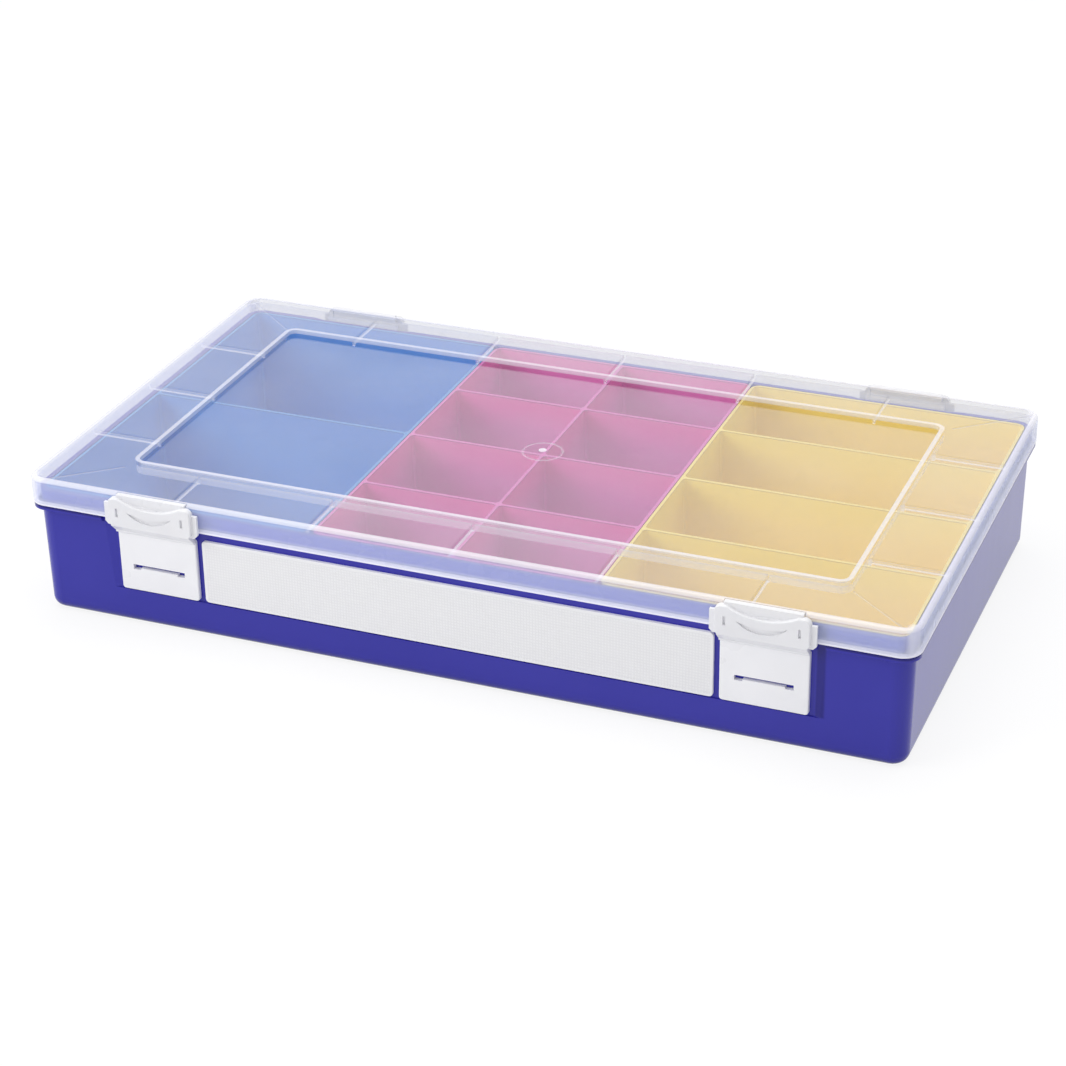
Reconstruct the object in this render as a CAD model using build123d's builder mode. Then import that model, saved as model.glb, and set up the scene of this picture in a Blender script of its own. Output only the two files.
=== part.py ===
"""Assortment case: a hinged box with three loose divided trays, held shut by two film-hinge clips.

Millimetres. +X runs along the case, the front with the two latches faces -Y, +Z is up.
The origin is the centre of the underside.
"""
from build123d import *
import math
import os

# Overall size
case_length = 335.0
case_width = 183.5
case_height = 55.0

# Lid
skirt_height = 10.5
lid_wall = 1.6
ring_thickness = 1.8
lid_corner_radius = 7.0
lid_edge_radius = 1.4
window_margin_side = 32.0
window_margin_front = 27.0
window_depth = 3.5
window_thickness = 1.2
window_corner_radius = 3.0
rib_thickness = 1.0
rib_depth = 1.8
rib_foot = 1.4
rib_foot_lift = 0.4
corner_rib_thickness = 0.6
corner_rib_depth = 0.5
gate_ring_radius = 7.5
gate_ring_width = 0.7
gate_ring_depth = 0.25
gate_nub_radius = 1.5
gate_nub_height = 0.5

# Base
base_inset = 2.3
base_wall = 2.0
base_floor = 2.2
base_corner_radius = 6.0
base_bottom_radius = 4.0
draft_angle = 0.9
rim_drop = 5.0
ledge_inset = 0.2
ledge_height = 1.4
ledge_slope_height = 1.4
ledge_clearance = 0.5
ledge_root_depth = 0.1
recess_depth = 1.0
recess_slope = 4.2
recess_bottom = 14.4
recess_side_gap = 1.5
recess_overcut = 1.0

# Trays
tray_wall = 1.1
tray_floor = 1.3
tray_lid_clearance = 0.3
tray_side_clearance = 0.4
tray_gap = 0.4
tray_corner_radius = 3.0
tray_foot_radius = 1.5
pocket_corner_radius = 0.8
pocket_foot_radius = 0.7
lid_grid_columns = 6
lid_grid_rows = 4

# Clips, two latches at the front and two hinges at the back
clip_from_end = 52.5
plate_width = 31.6
plate_thickness = 1.7
plate_bottom = 15.2
plate_corner_radius = 1.2
plate_edge_radius = 0.5
slot_length = 21.0
slot_height = 1.3
slot_drop = 0.7
slot_end_width = 3.0
slot_above_plate_bottom = 10.1
crease_below_skirt = 4.9
bead_radius = 0.8
bead_clearance = 0.05
crease_stand_off = 0.5
neck_thickness = 0.8
flap_clearance = 0.3
flap_thickness = 2.5
flap_width = 33.4
flap_top_drop = 1.0
flap_corner_radius = 2.2
flap_edge_radius = 0.5
shoulder_rise = 3.4
shoulder_chamfer = 1.3
grip_corner = 1.2
ear_width = 37.4
ear_thickness = 1.2
ear_bottom_above_crease = 3.2
ear_top_drop = 3.4
ear_chamfer = 1.2
scoop_half_width = 12.5
scoop_depth = 3.1
cap_width = 27.6
cap_height = 2.3
cap_reach = 1.0
cap_wall = 0.8
cap_top_drop = 0.1
notch_side_clearance = 0.4
notch_back_clearance = 0.3
notch_wall = 1.4
thumb_half_width = 9.0
thumb_top_drop = 5.8
thumb_upper_sag = 1.5
thumb_lower_sag = 3.7
thumb_depth = 0.9
side_slot_spacing = 26.2
side_slot_width = 1.0
side_slot_height = 3.4
side_slot_top_drop = 4.8
side_slot_depth = 1.0

# Label strip between the latches
label_thickness = 1.2
label_gap = 2.3
label_top_above_crease = 0.6
label_corner_radius = 1.5
label_edge_radius = 0.3

# Heights that follow from the sizes above
skirt_bottom = case_height - skirt_height
ring_underside = case_height - ring_thickness
window_top = case_height - window_depth
window_underside = window_top - window_thickness
base_rim = case_height - rim_drop
ledge_top = skirt_bottom - ledge_clearance
tray_rim = window_underside - tray_lid_clearance
tray_height = tray_rim - base_floor
crease_height = skirt_bottom - crease_below_skirt

# Plan sizes that follow
draft_slope = math.tan(math.radians(draft_angle))
window_length = case_length - 2 * window_margin_side
window_width = case_width - 2 * window_margin_front
notch_depth = cap_reach + notch_back_clearance
notch_width = cap_width + 2 * notch_side_clearance
recess_floor_inset = base_inset + recess_depth
plate_face_inset = recess_floor_inset - plate_thickness
crease_inset = plate_face_inset - crease_stand_off
clip_spacing = case_length - 2 * clip_from_end
clip_x = clip_spacing / 2
cavity_inset = base_inset + base_wall

FRONT = -1
BACK = 1


def inset_at(height):
    """How far the drafted outside of the base stands in from the lid's outline at a height."""
    return base_inset + draft_slope * (ledge_top - height)


def clip_face(x, side):
    """Elevation plane of a clip: X across it, Y up, Z outwards, zero on the lid's outline."""
    return Plane(origin=(x, side * case_width / 2, 0), x_dir=(-side, 0, 0), z_dir=(0, side, 0))


def clip_profile(x, side):
    """Cross-section plane of a clip: X outwards from the lid's outline, Y up."""
    return Plane(origin=(x, side * case_width / 2, 0), x_dir=(0, side, 0), z_dir=(side, 0, 0))


def save(piece, name):
    """Label one finished piece and write it."""
    piece.part.label = name
    export_step(piece.part, f"parts/{name}.step")


def recess_outline(half_width, side):
    """Plan of one shallow recess in a long wall: a flat floor with a slope at each end."""
    floor_y = side * (case_width / 2 - recess_floor_inset)
    wall_y = side * (case_width / 2 - base_inset)
    outside_y = side * (case_width / 2 + recess_overcut)
    end = half_width + recess_slope
    with BuildSketch() as outline:
        with BuildLine():
            Polyline(
                (-half_width, floor_y),
                (half_width, floor_y),
                (end, wall_y),
                (end, outside_y),
                (-end, outside_y),
                (-end, wall_y),
                close=True,
            )
        make_face()
    return outline.sketch


def make_base():
    """Drafted tub with a ledge under the lid's skirt and recesses for the clips and the label."""
    foot_inset = inset_at(0)
    floor_inset = inset_at(base_floor) + base_wall
    slope_bottom = ledge_top - ledge_height - ledge_slope_height
    slope_inset = inset_at(slope_bottom) + ledge_root_depth
    slope_angle = math.degrees(math.atan((slope_inset - ledge_inset) / ledge_slope_height))
    clip_recess = plate_width / 2 + recess_side_gap
    front_recess = recess_outline(clip_x + clip_recess, FRONT)
    back_recess = recess_outline(clip_recess, BACK)
    with BuildPart() as base_shell:
        with BuildSketch():
            RectangleRounded(
                case_length - 2 * foot_inset, case_width - 2 * foot_inset, base_corner_radius
            )
        extrude(amount=base_rim, taper=-draft_angle)
        fillet(base_shell.edges().group_by(Axis.Z)[0], base_bottom_radius)
        with BuildSketch(Plane.XY.offset(slope_bottom)):
            RectangleRounded(
                case_length - 2 * slope_inset, case_width - 2 * slope_inset, base_corner_radius
            )
        extrude(amount=ledge_slope_height, taper=-slope_angle)
        with BuildSketch(Plane.XY.offset(ledge_top - ledge_height)):
            RectangleRounded(
                case_length - 2 * ledge_inset, case_width - 2 * ledge_inset,
                lid_corner_radius - ledge_inset,
            )
        extrude(amount=ledge_height)
        with BuildSketch(Plane.XY.offset(recess_bottom)):
            add(front_recess)
            with Locations((-clip_x, 0), (clip_x, 0)):
                add(back_recess)
        extrude(amount=case_height - recess_bottom, mode=Mode.SUBTRACT)
        with BuildSketch(Plane.XY.offset(base_floor)):
            RectangleRounded(
                case_length - 2 * floor_inset, case_width - 2 * floor_inset,
                base_corner_radius - base_wall,
            )
        extrude(amount=base_rim - base_floor, taper=-draft_angle, mode=Mode.SUBTRACT)
    save(base_shell, "base_shell")


def make_tray(name, slot_index, columns, rows):
    """One loose tray, a third of the case long, divided into columns and rows of pockets."""
    cavity_length = case_length - 2 * (inset_at(tray_rim) + base_wall)
    cavity_width = case_width - 2 * (inset_at(tray_rim) + base_wall)
    pitch = (cavity_length - 2 * tray_side_clearance + tray_gap) / 3
    top_length = pitch - tray_gap
    top_width = cavity_width - 2 * tray_side_clearance
    shrink = 2 * draft_slope * tray_height
    centre_x = (slot_index - 1) * pitch
    pocket_x = (top_length - tray_wall) / columns
    pocket_y = (top_width - tray_wall) / rows
    pocket_shrink = 2 * draft_slope * (tray_height - tray_floor)
    with BuildPart() as tray:
        with BuildSketch(Plane.XY.offset(base_floor)):
            with Locations((centre_x, 0)):
                RectangleRounded(top_length - shrink, top_width - shrink, tray_corner_radius)
        extrude(amount=tray_height, taper=-draft_angle)
        fillet(tray.edges().group_by(Axis.Z)[0], tray_foot_radius)
        with BuildSketch(Plane.XY.offset(base_floor + tray_floor)):
            with Locations((centre_x, 0)):
                with GridLocations(pocket_x, pocket_y, columns, rows):
                    RectangleRounded(
                        pocket_x - tray_wall - pocket_shrink,
                        pocket_y - tray_wall - pocket_shrink,
                        pocket_corner_radius,
                    )
        extrude(amount=tray_height - tray_floor, taper=-draft_angle, mode=Mode.SUBTRACT)
        pocket_floors = tray.faces().filter_by(Axis.Z).group_by(Axis.Z)[1]
        fillet(pocket_floors.edges(), pocket_foot_radius)
    save(tray, name)


def make_lid():
    """Cover with a raised ring, a sunk window, ribs under the ring and four clip notches."""
    tub_length = window_length + 2 * lid_wall
    tub_width = window_width + 2 * lid_wall
    inner_length = case_length - 2 * lid_wall
    inner_width = case_width - 2 * lid_wall
    foot_bottom = window_underside + rib_foot_lift
    column_pitch = (case_length - 2 * cavity_inset) / lid_grid_columns
    row_pitch = (case_width - 2 * cavity_inset) / lid_grid_rows
    front_rib = (inner_width - tub_width) / 2 + lid_wall
    side_rib = (inner_length - tub_length) / 2 + lid_wall
    diagonal = math.hypot(side_rib, front_rib) - lid_corner_radius
    diagonal_angle = math.degrees(math.atan2(front_rib, side_rib))
    with BuildPart() as lid_cover:
        with BuildSketch(Plane.XY.offset(skirt_bottom)):
            RectangleRounded(case_length, case_width, lid_corner_radius)
        extrude(amount=skirt_height)
        fillet(lid_cover.faces().sort_by(Axis.Z)[-1].edges(), lid_edge_radius)
        with BuildSketch(Plane.XY.offset(skirt_bottom)):
            RectangleRounded(inner_length, inner_width, lid_corner_radius - lid_wall)
        extrude(amount=skirt_height - ring_thickness, mode=Mode.SUBTRACT)
        with BuildSketch(Plane.XY.offset(window_underside)):
            RectangleRounded(tub_length, tub_width, window_corner_radius + lid_wall)
        extrude(amount=ring_underside - window_underside)
        with BuildSketch(Plane.XY.offset(ring_underside - rib_depth)):
            rib_y = (inner_width + tub_width) / 4
            with GridLocations(column_pitch, 2 * rib_y, lid_grid_columns - 1, 2):
                Rectangle(rib_thickness, front_rib)
            rib_x = (inner_length + tub_length) / 4
            with GridLocations(2 * rib_x, row_pitch, 2, lid_grid_rows - 1):
                Rectangle(side_rib, rib_thickness)
        extrude(amount=rib_depth)
        with BuildSketch(Plane.XY.offset(foot_bottom)):
            with GridLocations(column_pitch, tub_width, lid_grid_columns - 1, 2):
                Rectangle(rib_thickness, 2 * rib_foot)
            with GridLocations(tub_length, row_pitch, 2, lid_grid_rows - 1):
                Rectangle(2 * rib_foot, rib_thickness)
        extrude(amount=ring_underside - foot_bottom)
        with BuildSketch(Plane.XY.offset(ring_underside - corner_rib_depth)):
            for x_sign in (-1, 1):
                for y_sign in (-1, 1):
                    middle = (x_sign * rib_x, y_sign * rib_y)
                    with Locations(Location(middle, x_sign * y_sign * diagonal_angle)):
                        Rectangle(diagonal, corner_rib_thickness)
        extrude(amount=corner_rib_depth)
        notch_wall_y = case_width / 2 - notch_depth - notch_wall / 2
        with BuildSketch(Plane.XY.offset(skirt_bottom)):
            with GridLocations(clip_spacing, 2 * notch_wall_y, 2, 2):
                Rectangle(notch_width + 2 * notch_wall, notch_wall)
        extrude(amount=skirt_height - ring_thickness)
        with BuildSketch(Plane.XY.offset(skirt_bottom)):
            with GridLocations(clip_spacing, case_width, 2, 2):
                Rectangle(notch_width, 2 * notch_depth)
        extrude(amount=skirt_height, mode=Mode.SUBTRACT)
        with BuildSketch(Plane.XY.offset(case_height)):
            RectangleRounded(window_length, window_width, window_corner_radius)
        extrude(amount=-window_depth, mode=Mode.SUBTRACT)
        with BuildSketch(Plane.XY.offset(window_top)):
            Circle(gate_ring_radius + gate_ring_width / 2)
            Circle(gate_ring_radius - gate_ring_width / 2, mode=Mode.SUBTRACT)
        extrude(amount=-gate_ring_depth, mode=Mode.SUBTRACT)
        with BuildSketch(Plane.XY.offset(window_top)):
            Circle(gate_nub_radius)
        extrude(amount=gate_nub_height)
    save(lid_cover, "lid_cover")


def make_plate(name, x, side):
    """Lower half of a clip: a flat plate in the base's recess, with its snap slot and hinge seat."""
    face = clip_face(x, side)
    seat_top = crease_height + bead_radius / 2
    plate_height = seat_top - plate_bottom
    slot_centre = plate_bottom + slot_above_plate_bottom
    with BuildPart() as plate:
        with BuildSketch(face.offset(-recess_floor_inset)):
            with Locations((0, plate_bottom + plate_height / 2)):
                RectangleRounded(plate_width, plate_height, plate_corner_radius)
        extrude(amount=plate_thickness)
        outer_face = plate.faces().sort_by(Axis.Y)[0 if side == FRONT else -1]
        fillet(outer_face.edges(), plate_edge_radius)
        with BuildSketch(face.offset(-recess_floor_inset)):
            with Locations((0, slot_centre)):
                Rectangle(slot_length, slot_height)
            with Locations((0, slot_centre - slot_drop)):
                with GridLocations(slot_length - slot_end_width, 0, 2, 1):
                    Rectangle(slot_end_width, slot_height)
        extrude(amount=plate_thickness, mode=Mode.SUBTRACT)
        with BuildSketch(clip_profile(x, side)):
            with Locations((-crease_inset, crease_height)):
                Circle(bead_radius + bead_clearance)
        extrude(amount=plate_width, both=True, mode=Mode.SUBTRACT)
    save(plate, name)


def make_flap(name, x, side):
    """Upper half of a clip: bead, shoulder, grip with finger scoop, ears and the cap in the notch."""
    face = clip_face(x, side)
    profile = clip_profile(x, side)
    flap_face = flap_clearance + flap_thickness
    flap_top = case_height - flap_top_drop
    cap_top = case_height - cap_top_drop
    ear_bottom = crease_height + ear_bottom_above_crease
    ear_top = case_height - ear_top_drop
    grip_bottom = crease_height + shoulder_rise
    scoop_radius = (scoop_half_width ** 2 + scoop_depth ** 2) / (2 * scoop_depth)
    thumb_tip = case_height - thumb_top_drop
    neck = Vector(flap_face + crease_inset, shoulder_rise).normalized() * neck_thickness / 2
    side_slot_centre = case_height - side_slot_top_drop - side_slot_height / 2
    with BuildPart() as flap:
        with BuildSketch(face.offset(flap_clearance)) as grip:
            with BuildLine():
                Polyline(
                    (-plate_width / 2, grip_bottom),
                    (plate_width / 2, grip_bottom),
                    (flap_width / 2, grip_bottom + grip_corner),
                    (flap_width / 2, flap_top),
                    (-flap_width / 2, flap_top),
                    (-flap_width / 2, grip_bottom + grip_corner),
                    close=True,
                )
            make_face()
            fillet(grip.vertices().group_by(Axis.Y)[-1], flap_corner_radius)
            with Locations((0, flap_top - scoop_depth + scoop_radius)):
                Circle(scoop_radius, mode=Mode.SUBTRACT)
        extrude(amount=flap_thickness)
        outer_face = flap.faces().sort_by(Axis.Y)[0 if side == FRONT else -1]
        fillet(outer_face.edges().sort_by(Axis.Z)[1:], flap_edge_radius)
        with BuildSketch(face.offset(flap_clearance)) as ears:
            with Locations((0, (ear_top + ear_bottom) / 2)):
                Rectangle(ear_width, ear_top - ear_bottom)
            chamfer(ears.vertices().group_by(Axis.Y)[0], ear_chamfer)
        extrude(amount=ear_thickness)
        with BuildSketch(profile):
            with BuildLine():
                Polyline(
                    (-crease_inset + neck.Y, crease_height - neck.X),
                    (flap_face - shoulder_chamfer, grip_bottom - shoulder_chamfer),
                    (flap_face, grip_bottom),
                    (flap_face, grip_bottom + grip_corner),
                    (flap_clearance, grip_bottom + grip_corner),
                    (flap_clearance, grip_bottom),
                    (-crease_inset - neck.Y, crease_height + neck.X),
                    close=True,
                )
            make_face()
            with Locations((-crease_inset, crease_height)):
                Circle(bead_radius)
        extrude(amount=plate_width / 2, both=True)
        with BuildSketch(face.offset(-cap_reach)):
            with Locations((0, cap_top - cap_height / 2)):
                Rectangle(cap_width, cap_height)
        extrude(amount=cap_reach + flap_clearance + cap_wall)
        cap_wall_bottom = flap_top - scoop_depth - cap_wall
        with BuildSketch(face.offset(flap_clearance)):
            with Locations((0, (cap_top + cap_wall_bottom) / 2)):
                Rectangle(cap_width, cap_top - cap_wall_bottom)
        extrude(amount=cap_wall)
        with BuildSketch(face.offset(flap_face)):
            with BuildLine():
                for sag in (thumb_lower_sag, thumb_upper_sag):
                    ThreePointArc(
                        (-thumb_half_width, thumb_tip),
                        (0, thumb_tip - sag),
                        (thumb_half_width, thumb_tip),
                    )
            make_face()
        extrude(amount=-thumb_depth, mode=Mode.SUBTRACT)
        with BuildSketch(face.offset(flap_face)):
            with Locations((0, side_slot_centre)):
                with GridLocations(side_slot_spacing, 0, 2, 1):
                    Rectangle(side_slot_width, side_slot_height)
        extrude(amount=-side_slot_depth, mode=Mode.SUBTRACT)
    save(flap, name)


def make_label():
    """White strip for writing on, in the recess between the two latches."""
    label_length = clip_spacing - plate_width - 2 * label_gap
    label_top = crease_height + label_top_above_crease
    label_height = label_top - plate_bottom
    with BuildPart() as label_strip:
        with BuildSketch(clip_face(0, FRONT).offset(-recess_floor_inset)):
            with Locations((0, plate_bottom + label_height / 2)):
                RectangleRounded(label_length, label_height, label_corner_radius)
        extrude(amount=label_thickness)
        fillet(label_strip.faces().sort_by(Axis.Y)[0].edges(), label_edge_radius)
    save(label_strip, "label_strip")


os.makedirs("parts", exist_ok=True)
make_base()
make_tray("insert_blue", 0, 1, 2)
make_tray("insert_red", 1, 2, 4)
make_tray("insert_yellow", 2, 1, 4)
make_lid()
make_label()
for clip, clip_side in (("latch", FRONT), ("hinge", BACK)):
    for hand, clip_at in (("left", -clip_x), ("right", clip_x)):
        make_plate(f"{clip}_{hand}_plate", clip_at, clip_side)
        make_flap(f"{clip}_{hand}_flap", clip_at, clip_side)
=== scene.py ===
"""Looks of the assortment case: studio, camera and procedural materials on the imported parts."""

import math

import bpy
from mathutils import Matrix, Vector


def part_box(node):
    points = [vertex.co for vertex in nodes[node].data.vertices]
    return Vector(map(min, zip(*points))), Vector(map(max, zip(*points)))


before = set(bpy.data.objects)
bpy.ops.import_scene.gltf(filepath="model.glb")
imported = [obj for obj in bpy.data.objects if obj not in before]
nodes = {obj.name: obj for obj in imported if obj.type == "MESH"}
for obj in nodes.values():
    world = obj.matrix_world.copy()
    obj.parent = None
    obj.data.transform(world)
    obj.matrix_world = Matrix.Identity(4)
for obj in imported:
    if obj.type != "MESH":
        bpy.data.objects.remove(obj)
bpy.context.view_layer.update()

# Camera, fitted to the photograph's straight edges: metres, degrees, millimetres
CAMERA_PLACE = (0.34324, -0.85737, 0.49732)
CAMERA_TURN = (62.5271, 0.8046, 21.6534)
CAMERA_LENS = 92.839
SENSOR_WIDTH = 36.0

# Studio, metres and shares of white
FLOOR_SIZE = 12.0
FLOOR_DROP = 0.0002
FLOOR_GLOW = 1.04
FLOOR_GLOW_SHARE = 0.82
WORLD_LIGHT = 0.52
WORLD_WHITE = 1.0

# Plan and heights of the lid, metres
LID_LOW, LID_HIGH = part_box("lid_cover")
LID_CORNER = 0.007
RING_SIDE = 0.032
RING_FRONT = 0.027
WINDOW_HALF = (LID_HIGH[0] - RING_SIDE, LID_HIGH[1] - RING_FRONT)
WINDOW_CORNER = 0.003
WINDOW_WALL = 0.0018
SKIRT_WALL = 0.0019
RING_TOP = LID_HIGH[2]
RING_UNDERSIDE = RING_TOP - 0.0018
WINDOW_TOP = RING_TOP - 0.0035
SKIRT_BOTTOM = LID_LOW[2]
GATE_RADIUS = 0.0075
GATE_LINE = 0.0005
NUB_RADIUS = 0.0016

# Lid's plastic: haze of its plates, light left by a wall, and share kept for a lamp's shadow
HAZE_WINDOW = 0.066
HAZE_RING = 0.085
WALL_CLEAR = 0.72
LEAST_COSINE = 0.12
SHADOW_SHARE = 0.12

# Base: its rim, the height of the painted shade along its foot, and the right end of the long recess in
# its front, where shade is painted, metres
BASE_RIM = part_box("base_shell")[1][2]
FOOT_SHADE_HEIGHT = 0.0045
RECESS_END = (0.1328, 0.136)
RECESS_BOTTOM = 0.0146

# Label's grid, metres
GRID_PITCH = 0.0011
GRID_BORDER = 0.0012

# Trays: dark and light of the plastic, its upper walls with a painted glow, and its rim with painted
# shade
TRAY_COLOURS = {
    "insert_blue": ((0.05, 0.29, 0.67), (0.06, 0.32, 0.73), (0.05, 0.29, 0.72), (0.04, 0.22, 0.53)),
    "insert_red": ((0.69, 0.165, 0.53), (0.75, 0.185, 0.58), (0.85, 0.13, 0.5), (0.55, 0.1, 0.37)),
    "insert_yellow": ((0.9, 0.72, 0.18), (0.94, 0.76, 0.21), (0.98, 0.82, 0.17), (0.72, 0.58, 0.14)),
}

# Clips: how solid the white plastic is in plates, back flaps and front flaps
SOLID_PLATE = 0.97
SOLID_BACK_FLAP = 0.62
SOLID_FRONT_FLAP = 0.82


class Shader:
    """Node tree of a new material or world, with short calls for the nodes used here."""

    def __init__(self, owner):
        owner.use_nodes = True
        self.owner = owner
        self.tree = owner.node_tree
        self.surface = self.tree.nodes.get("Principled BSDF")

    def node(self, kind, **settings):
        made = self.tree.nodes.new(kind)
        for key, value in settings.items():
            setattr(made, key, value)
        return made

    def feed(self, socket, value):
        if isinstance(value, bpy.types.NodeSocket):
            self.tree.links.new(value, socket)
        else:
            socket.default_value = value

    def math(self, operation, *values, clamp=False):
        made = self.node("ShaderNodeMath", operation=operation, use_clamp=clamp)
        for socket, value in zip(made.inputs, values):
            self.feed(socket, value)
        return made.outputs[0]

    def product(self, *values):
        total = values[0]
        for value in values[1:]:
            total = self.math("MULTIPLY", total, value)
        return total

    def most(self, *values):
        total = values[0]
        for value in values[1:]:
            total = self.math("MAXIMUM", total, value)
        return total

    def place(self):
        """Coordinates in metres that stay with the piece."""
        return self.node("ShaderNodeTexCoord").outputs["Object"]

    def facing_side(self):
        """Directions of the surface that stay with the piece."""
        return self.split(self.node("ShaderNodeTexCoord").outputs["Normal"])

    def split(self, vector):
        made = self.node("ShaderNodeSeparateXYZ")
        self.feed(made.inputs[0], vector)
        return made.outputs

    def stretch(self, vector, scale):
        made = self.node("ShaderNodeVectorMath", operation="MULTIPLY")
        self.feed(made.inputs[0], vector)
        made.inputs[1].default_value = scale
        return made.outputs[0]

    def noise(self, scale, detail=3.0, vector=None):
        made = self.node("ShaderNodeTexNoise")
        self.feed(made.inputs["Vector"], vector or self.place())
        made.inputs["Scale"].default_value = scale
        made.inputs["Detail"].default_value = detail
        return made.outputs[0]

    def ramp(self, value, low, high, to_low=0.0, to_high=1.0):
        made = self.node("ShaderNodeMapRange", interpolation_type="SMOOTHSTEP")
        for socket, number in zip(made.inputs, (value, low, high, to_low, to_high)):
            self.feed(socket, number)
        return made.outputs[0]

    def spread(self, noise, to_low=0.0, to_high=1.0):
        """A noise, whose values crowd around its middle, spread between two limits."""
        return self.ramp(noise, 0.3, 0.7, to_low, to_high)

    def above(self, value, limit, soft=0.0002):
        """1 above a limit and 0 below it, with a soft edge."""
        return self.ramp(value, limit - soft / 2, limit + soft / 2)

    def below(self, value, limit, soft=0.0002):
        """1 below a limit and 0 above it, with a soft edge."""
        return self.ramp(value, limit - soft / 2, limit + soft / 2, 1.0, 0.0)

    def length(self, first, second):
        squares = [self.math("MULTIPLY", value, value) for value in (first, second)]
        return self.math("SQRT", self.math("ADD", *squares))

    def outside(self, place, half_length, half_width, radius):
        """Distance outwards from a rounded rectangle around the origin, negative inside it."""
        over_x = self.math("SUBTRACT", self.math("ABSOLUTE", place["X"]), half_length - radius)
        over_y = self.math("SUBTRACT", self.math("ABSOLUTE", place["Y"]), half_width - radius)
        corner = self.length(self.math("MAXIMUM", over_x, 0.0), self.math("MAXIMUM", over_y, 0.0))
        middle = self.math("MINIMUM", self.math("MAXIMUM", over_x, over_y), 0.0)
        return self.math("SUBTRACT", self.math("ADD", corner, middle), radius)

    def blend(self, share, first, second):
        made = self.node("ShaderNodeMix", data_type="RGBA")
        for index, value in ((0, share), (6, first), (7, second)):
            self.feed(made.inputs[index], value)
        return made.outputs[2]

    def bump(self, height, distance, strength):
        made = self.node("ShaderNodeBump")
        made.inputs["Strength"].default_value = strength
        made.inputs["Distance"].default_value = distance
        self.feed(made.inputs["Height"], height)
        return made.outputs[0]

    def set(self, **values):
        for name, value in values.items():
            self.feed(self.surface.inputs[name.replace("_", " ")], value)


def new_material(name):
    return Shader(bpy.data.materials.new(name))


def rgb(red, green, blue):
    return (red, green, blue, 1.0)


def tray_plastic(name, dark, light, painted_glow, rim):
    """Moulded plastic of a tray: a slow drift of colour, a fine grain, a painted glow on the walls near
    the rim and painted shade on the top of the rim.
    """
    shader = new_material(name)
    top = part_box(name)[1][2]
    height = shader.split(shader.place())["Z"]
    body = shader.blend(shader.spread(shader.noise(18.0, 4.0)), rgb(*dark), rgb(*light))
    # Painted glow: the upper walls blend towards a livelier, brighter colour near the rim.
    body = shader.blend(shader.ramp(height, top - 0.016, top), body, rgb(*painted_glow))
    shader.set(
        # Painted shade: the top of the rim is darker.
        Base_Color=shader.blend(shader.above(height, top - 0.0004), body, rgb(*rim)),
        Roughness=shader.spread(shader.noise(60.0), 0.34, 0.48),
        Normal=shader.bump(shader.noise(500.0, 2.0), 0.00003, 0.4),
    )
    return shader.owner


def clip_plastic(name, solid):
    """White moulded plastic, which lets some light through where it is thin."""
    shader = new_material(name)
    drift = shader.spread(shader.noise(18.0, 4.0))
    shader.set(
        Base_Color=shader.blend(drift, rgb(0.92, 0.92, 0.95), rgb(0.95, 0.95, 0.97)),
        Roughness=shader.spread(shader.noise(60.0), 0.27, 0.38),
        Normal=shader.bump(shader.noise(600.0, 2.0), 0.00002, 0.4),
        Alpha=shader.spread(shader.noise(40.0), solid - 0.02, solid + 0.02),
    )
    return shader.owner


def base_plastic():
    """Deep blue gloss plastic with faint draw marks.

    It has painted shade under the skirt, along the foot and on the long recess's right end, painted
    light where the lid covers it, and a painted highlight on the top of its rim.
    """
    shader = new_material("base_blue")
    place = shader.split(shader.place())
    height = place["Z"]
    drift = shader.spread(shader.noise(14.0, 4.0))
    draw = shader.noise(1.0, 2.0, shader.stretch(shader.place(), (420.0, 420.0, 14.0)))
    peel = shader.noise(260.0, 2.0)
    body = shader.blend(drift, rgb(0.027, 0.025, 0.345), rgb(0.033, 0.03, 0.37))
    # Painted light: brighter blue where the lid covers it, and a painted highlight on the top of the rim.
    body = shader.blend(shader.above(height, SKIRT_BOTTOM + 0.0006), body, rgb(0.028, 0.027, 0.5))
    body = shader.blend(shader.above(height, BASE_RIM - 0.0003), body, rgb(0.09, 0.09, 0.36))
    # Painted shade: darker under the skirt, along the foot and on the long recess's right end.
    skirt_shadow = shader.product(
        shader.above(height, SKIRT_BOTTOM - 0.0011, 0.0008), shader.below(height, SKIRT_BOTTOM + 0.0004)
    )
    recess_end_shade = shader.product(
        shader.above(place["X"], RECESS_END[0], 0.0008), shader.below(place["X"], RECESS_END[1], 0.0012),
        shader.below(place["Y"], 0.0), shader.above(height, RECESS_BOTTOM, 0.001),
    )
    painted_shade = shader.most(
        skirt_shadow, shader.ramp(height, 0.0, FOOT_SHADE_HEIGHT, 0.75, 0.0), shader.product(recess_end_shade, 0.75)
    )
    shader.set(
        Base_Color=shader.blend(painted_shade, body, rgb(0.006, 0.004, 0.16)),
        IOR=1.39,
        Roughness=shader.spread(draw, 0.14, 0.17),
        Normal=shader.bump(shader.math("ADD", peel, shader.product(draw, 0.4)), 0.00002, 0.5),
    )
    return shader.owner


def lid_clearness(shader, height, wall):
    """Share of light that passes the lid: less where a plate is thick or seen aslant, or in a wall."""
    raised = shader.above(height, WINDOW_TOP + 0.0012, 0.0008)
    cloud = shader.ramp(shader.noise(22.0, 4.0), 0.25, 0.75, 0.92, 1.08)
    haze = shader.product(shader.ramp(raised, 0.0, 1.0, HAZE_WINDOW, HAZE_RING), cloud)
    facing = shader.node("ShaderNodeLayerWeight")
    facing.inputs["Blend"].default_value = 0.5
    cosine = shader.most(shader.math("SUBTRACT", 1.0, facing.outputs["Facing"]), LEAST_COSINE)
    clear = shader.math("POWER", shader.math("SUBTRACT", 1.0, haze), shader.math("DIVIDE", 1.0, cosine))
    return shader.product(clear, shader.ramp(wall, 0.0, 1.0, 1.0, WALL_CLEAR))


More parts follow.
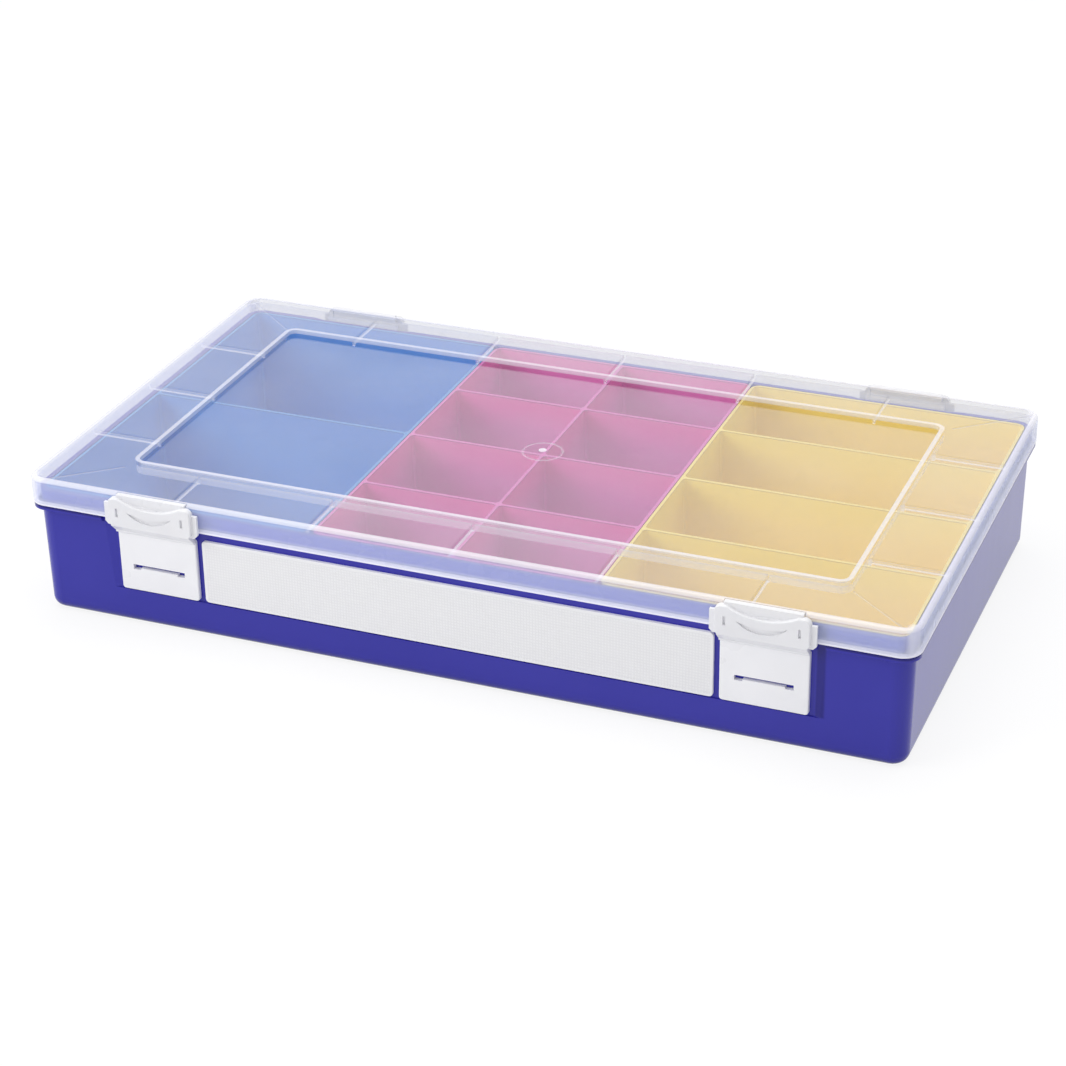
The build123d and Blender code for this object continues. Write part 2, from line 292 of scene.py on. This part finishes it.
def lid_edge_white_and_highlights(shader, place, outline, window, upright):
    """Share of white where the lid's plastic is seen on edge: steps, ribs, corners and the gate mark; and
    painted highlights along the top rim and the skirt's foot.
    """
    height = place["Z"]
    # Painted highlight along the lid's rounded top rim.
    rim = shader.product(shader.above(outline, -0.0022, 0.0008), shader.above(height, RING_TOP - 0.0012))
    corner = shader.product(
        shader.above(shader.math("ABSOLUTE", place["X"]), LID_HIGH[0] - 0.0045, 0.004),
        shader.above(shader.math("ABSOLUTE", place["Y"]), LID_HIGH[1] - 0.0055, 0.004),
    )
    step = shader.product(
        shader.below(window, WINDOW_WALL, 0.0008), shader.above(window, -0.0004),
        shader.above(height, RING_UNDERSIDE + 0.0002),
    )
    tub = shader.product(
        upright, shader.above(window, 0.0012), shader.below(window, WINDOW_WALL),
        shader.below(place["Y"], WINDOW_HALF[1] - 0.002),
    )
    # Painted highlight along the skirt's foot.
    foot = shader.below(height, SKIRT_BOTTOM + 0.0007)
    foot_band = shader.below(height, SKIRT_BOTTOM + 0.0019)
    under_ring = shader.product(
        shader.above(window, 0.0019), shader.below(outline, -SKIRT_WALL),
        shader.above(height, WINDOW_TOP - 0.002), shader.below(height, RING_UNDERSIDE - 0.0001, 0.0001),
    )
    rib_edge = shader.most(
        shader.below(height, RING_UNDERSIDE - 0.0015), shader.above(height, RING_UNDERSIDE - 0.0003)
    )
    rib = shader.product(under_ring, shader.most(rib_edge, shader.below(window, 0.0031)))
    from_gate = shader.length(place["X"], place["Y"])
    off_circle = shader.math("ABSOLUTE", shader.math("SUBTRACT", from_gate, GATE_RADIUS))
    gate = shader.product(shader.below(off_circle, GATE_LINE), shader.above(height, WINDOW_TOP - 0.0006))
    nub = shader.product(shader.below(from_gate, NUB_RADIUS), shader.above(height, WINDOW_TOP + 0.0002))
    shares = (
        (rim, 0.66), (step, 0.56), (tub, 0.3), (corner, 0.62), (foot, 0.8),
        (foot_band, 0.5), (rib, 0.45), (gate, 0.3), (nub, 0.7),
    )
    return shader.most(*[shader.product(mask, share) for mask, share in shares])


def lid_plastic():
    """Frosted see-through plastic: a thin haze in the plates, white where the plastic is seen on edge,
    painted highlights along its rims, painted blue light in its walls and painted shade on its back wall.
    """
    shader = new_material("lid_frosted")
    place = shader.split(shader.place())
    outline = shader.outside(place, LID_HIGH[0], LID_HIGH[1], LID_CORNER)
    window = shader.outside(place, *WINDOW_HALF, WINDOW_CORNER)
    upright = shader.math("SUBTRACT", 1.0, shader.math("ABSOLUTE", shader.facing_side()["Z"]))
    upright = shader.ramp(upright, 0.2, 1.0)
    wall = shader.product(upright, shader.above(outline, -SKIRT_WALL))
    # White of plastic seen on edge, with painted highlights along the top rim and the skirt's foot.
    white = lid_edge_white_and_highlights(shader, place, outline, window, upright)
    veil = shader.most(shader.math("SUBTRACT", 1.0, lid_clearness(shader, place["Z"], wall)), white)
    lamp_ray = shader.node("ShaderNodeLightPath").outputs["Is Shadow Ray"]
    veil = shader.math("MULTIPLY", veil, shader.ramp(lamp_ray, 0.0, 1.0, 1.0, SHADOW_SHARE), clamp=True)
    # Painted light: the upright walls are tinted blue by the base's light.
    tint = shader.blend(wall, rgb(0.86, 0.87, 0.94), rgb(0.7, 0.76, 1.0))
    # Painted shade: the back wall is darker grey.
    back_wall_shade = shader.product(wall, shader.above(place["Y"], LID_HIGH[1] - 0.003, 0.002))
    tint = shader.blend(back_wall_shade, tint, rgb(0.5, 0.52, 0.6))
    shader.set(
        Base_Color=shader.blend(white, tint, rgb(0.95, 0.94, 1.0)),
        Roughness=shader.spread(shader.noise(70.0), 0.2, 0.3),
        Normal=shader.bump(shader.noise(900.0, 2.0), 0.00002, 0.3),
        Alpha=veil,
    )
    return shader.owner


def label_plastic():
    """White plastic pressed with a fine square grid inside a plain border."""
    shader = new_material("label_white")
    place = shader.split(shader.place())
    low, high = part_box("label_strip")
    waves = []
    within = []
    for axis, index in (("X", 0), ("Z", 2)):
        middle = (low[index] + high[index]) / 2
        half = (high[index] - low[index]) / 2 - GRID_BORDER
        offset = shader.math("SUBTRACT", place[axis], middle)
        waves.append(shader.math("SINE", shader.math("MULTIPLY", offset, 2 * math.pi / GRID_PITCH)))
        within.append(shader.ramp(shader.math("ABSOLUTE", offset), half, half + 0.0002, 1.0, 0.0))
    grid = shader.product(shader.ramp(shader.most(*waves), -0.2, 1.0), *within)
    shader.set(
        Base_Color=shader.blend(
            shader.product(grid, 0.35), rgb(0.87, 0.87, 0.88), rgb(0.73, 0.73, 0.75)
        ),
        Roughness=shader.spread(shader.noise(90.0), 0.42, 0.55),
        Normal=shader.bump(grid, 0.0001, 0.5),
    )
    return shader.owner


def dress_pieces():
    """Puts each piece's material in all its slots."""
    materials = {
        "base_shell": base_plastic(),
        "lid_cover": lid_plastic(),
        "label_strip": label_plastic(),
    }
    for name, colours in TRAY_COLOURS.items():
        materials[name] = tray_plastic(name, *colours)
    plate = clip_plastic("clip_white", SOLID_PLATE)
    back_flap = clip_plastic("clip_thin", SOLID_BACK_FLAP)
    front_flap = clip_plastic("clip_grip", SOLID_FRONT_FLAP)
    for name, piece in nodes.items():
        if name in materials:
            material = materials[name]
        elif name.endswith("plate"):
            material = plate
        elif name.startswith("hinge"):
            material = back_flap
        else:
            material = front_flap
        if not piece.material_slots:
            piece.data.materials.append(material)
        for entry in piece.material_slots:
            entry.material = material


def seen_ray(shader):
    """1 for the rays that show the background: from the camera, mirrored or through glass."""
    path = shader.node("ShaderNodeLightPath").outputs
    total = shader.math("ADD", path["Is Camera Ray"], path["Is Glossy Ray"])
    return shader.math("ADD", total, path["Is Transmission Ray"], clamp=True)


def make_floor():
    """Plain pale floor that shows white and keeps a soft shadow."""
    bpy.ops.mesh.primitive_plane_add(size=FLOOR_SIZE, location=(0.0, 0.0, -FLOOR_DROP))
    floor = bpy.context.object
    floor.name = "floor"
    shader = new_material("floor_pale")
    shader.set(Base_Color=rgb(0.85, 0.85, 0.86), Roughness=0.9, Specular_IOR_Level=0.0)
    glow = shader.node("ShaderNodeEmission")
    glow.inputs["Color"].default_value = rgb(1.0, 1.0, 1.0)
    glow.inputs["Strength"].default_value = FLOOR_GLOW
    mix = shader.node("ShaderNodeMixShader")
    shader.feed(mix.inputs[0], shader.product(seen_ray(shader), FLOOR_GLOW_SHARE))
    shader.feed(mix.inputs[1], shader.surface.outputs[0])
    shader.feed(mix.inputs[2], glow.outputs[0])
    shader.feed(shader.tree.nodes["Material Output"].inputs["Surface"], mix.outputs[0])
    floor.data.materials.append(shader.owner)


def make_world():
    """White surroundings where they are seen, and a soft even light elsewhere."""
    world = bpy.data.worlds.new("studio")
    bpy.context.scene.world = world
    shader = Shader(world)
    back = shader.tree.nodes["Background"]
    back.inputs["Color"].default_value = rgb(1.0, 1.0, 1.0)
    level = shader.ramp(seen_ray(shader), 0.0, 1.0, WORLD_LIGHT, WORLD_WHITE)
    shader.feed(back.inputs["Strength"], level)


def lamp(name, place, size, watts):
    """Square softbox at a place, turned towards the case."""
    data = bpy.data.lights.new(name, "AREA")
    data.shape = "SQUARE"
    data.size = size
    data.energy = watts
    made = bpy.data.objects.new(name, data)
    bpy.context.scene.collection.objects.link(made)
    made.location = place
    made.rotation_euler = (-Vector(place)).to_track_quat("-Z", "Y").to_euler()


def make_camera():
    """Camera at the photograph's viewing angle."""
    data = bpy.data.cameras.new("camera")
    data.lens = CAMERA_LENS
    data.sensor_width = SENSOR_WIDTH
    made = bpy.data.objects.new("camera", data)
    bpy.context.scene.collection.objects.link(made)
    made.location = CAMERA_PLACE
    made.rotation_euler = [math.radians(angle) for angle in CAMERA_TURN]
    bpy.context.scene.camera = made


dress_pieces()
make_floor()
make_world()
lamp("softbox_top", (0.0, 0.25, 1.5), 1.6, 16.0)
lamp("softbox_left", (-1.2, -1.1, 0.9), 1.0, 12.0)
make_camera()
bpy.context.scene.view_settings.view_transform = "Standard"
